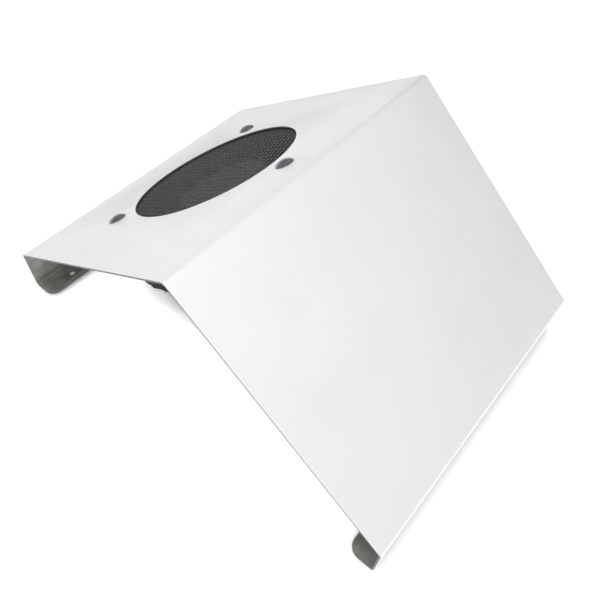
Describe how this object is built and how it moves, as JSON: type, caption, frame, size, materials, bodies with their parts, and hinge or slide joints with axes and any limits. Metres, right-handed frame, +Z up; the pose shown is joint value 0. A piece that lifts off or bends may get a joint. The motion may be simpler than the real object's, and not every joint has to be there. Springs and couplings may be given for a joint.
{
  "type": "nail dust collector",
  "caption": "Free-standing folded-sheet table hood with a round mesh-covered intake in its sloping top, an axial fan under it and a cloth dust bag.",
  "frame": {"origin": "centre of the overall footprint, on the table under the rubber pads", "axes": "+Z up, +X towards the long slope's foot (front), +Y across the hood"},
  "size_m": [0.3522, 0.25, 0.163],
  "materials": {
    "white_powder_coat": "white powder-coated mild steel sheet, bare zinc-grey steel inside",
    "black_mesh": "black painted expanded steel",
    "zinc_plated": "bright zinc-plated steel",
    "black_casting": "black painted die-cast aluminium",
    "black_nylon": "glass-filled nylon, moulded",
    "foam_rubber": "closed-cell rubber",
    "pad_rubber": "moulded rubber",
    "bearing_steel": "ground bearing steel",
    "lamination_steel": "stacked electrical steel",
    "copper_wire": "enamelled copper wire",
    "aluminium_tube": "turned aluminium",
    "brass_contact": "nickel-plated brass",
    "switch_plastic": "moulded glossy nylon",
    "bag_cloth": "black spun-bonded filter cloth",
    "elastic_band": "woven elastic",
    "lead_black": "PVC insulation",
    "lead_blue": "PVC insulation",
    "lead_brown": "PVC insulation",
    "lead_green": "PVC insulation, green and yellow",
    "boot_vinyl": "soft red vinyl"
  },
  "bodies": {
    "hood": {"hood_shell": "white_powder_coat", "rubber_pads": "pad_rubber", "intake_mesh": "black_mesh", "sealing_ring": "foam_rubber", "fan_bolts": "zinc_plated", "fan_washers": "zinc_plated", "fan_nuts": "zinc_plated", "fan_housing": "black_casting", "outlet_guard": "zinc_plated", "guard_screws": "zinc_plated", "bearing_tube": "aluminium_tube", "bearing_outer_races": "bearing_steel", "stator_core": "lamination_steel", "stator_windings": "copper_wire", "fan_terminal_block": "black_nylon", "fan_terminal_pins": "brass_contact", "power_inlet": "black_nylon", "inlet_pins": "brass_contact", "inlet_screws": "zinc_plated", "inlet_nuts": "zinc_plated", "switch_body": "switch_plastic", "switch_terminals": "brass_contact", "earth_screw": "zinc_plated", "earth_tag": "brass_contact", "earth_nut": "zinc_plated", "lead_boots": "boot_vinyl", "live_lead": "lead_brown", "neutral_lead": "lead_blue", "switched_lead": "lead_black", "earth_lead": "lead_green"},
    "rotor": {"impeller": "black_nylon", "rotor_can": "zinc_plated", "rotor_cage": "lamination_steel", "shaft": "bearing_steel", "shaft_circlip": "bearing_steel", "bearing_inner_races": "bearing_steel", "bearing_balls": "bearing_steel"},
    "rocker": {"switch_rocker": "switch_plastic"},
    "bag": {"dust_bag": "bag_cloth", "bag_cuff": "bag_cloth", "bag_elastic": "elastic_band"}
  },
  "joints": [
    {"name": "rotor_spin", "type": "hinge", "parent": "hood", "child": "rotor", "pos_m": [-0.07637, 0, 0.10295], "axis": [-0.5548, 0, 0.832], "continuous": true},
    {"name": "rocker_tip", "type": "hinge", "parent": "hood", "child": "rocker", "pos_m": [-0.17042, 0.018, 0.02085], "axis": [0, 1, 0], "range_deg": [0, 20]},
    {"name": "bag_pull", "type": "slide", "parent": "hood", "child": "bag", "axis": [0.5548, 0, -0.832], "range_m": [0, 0.0064]}
  ]
}
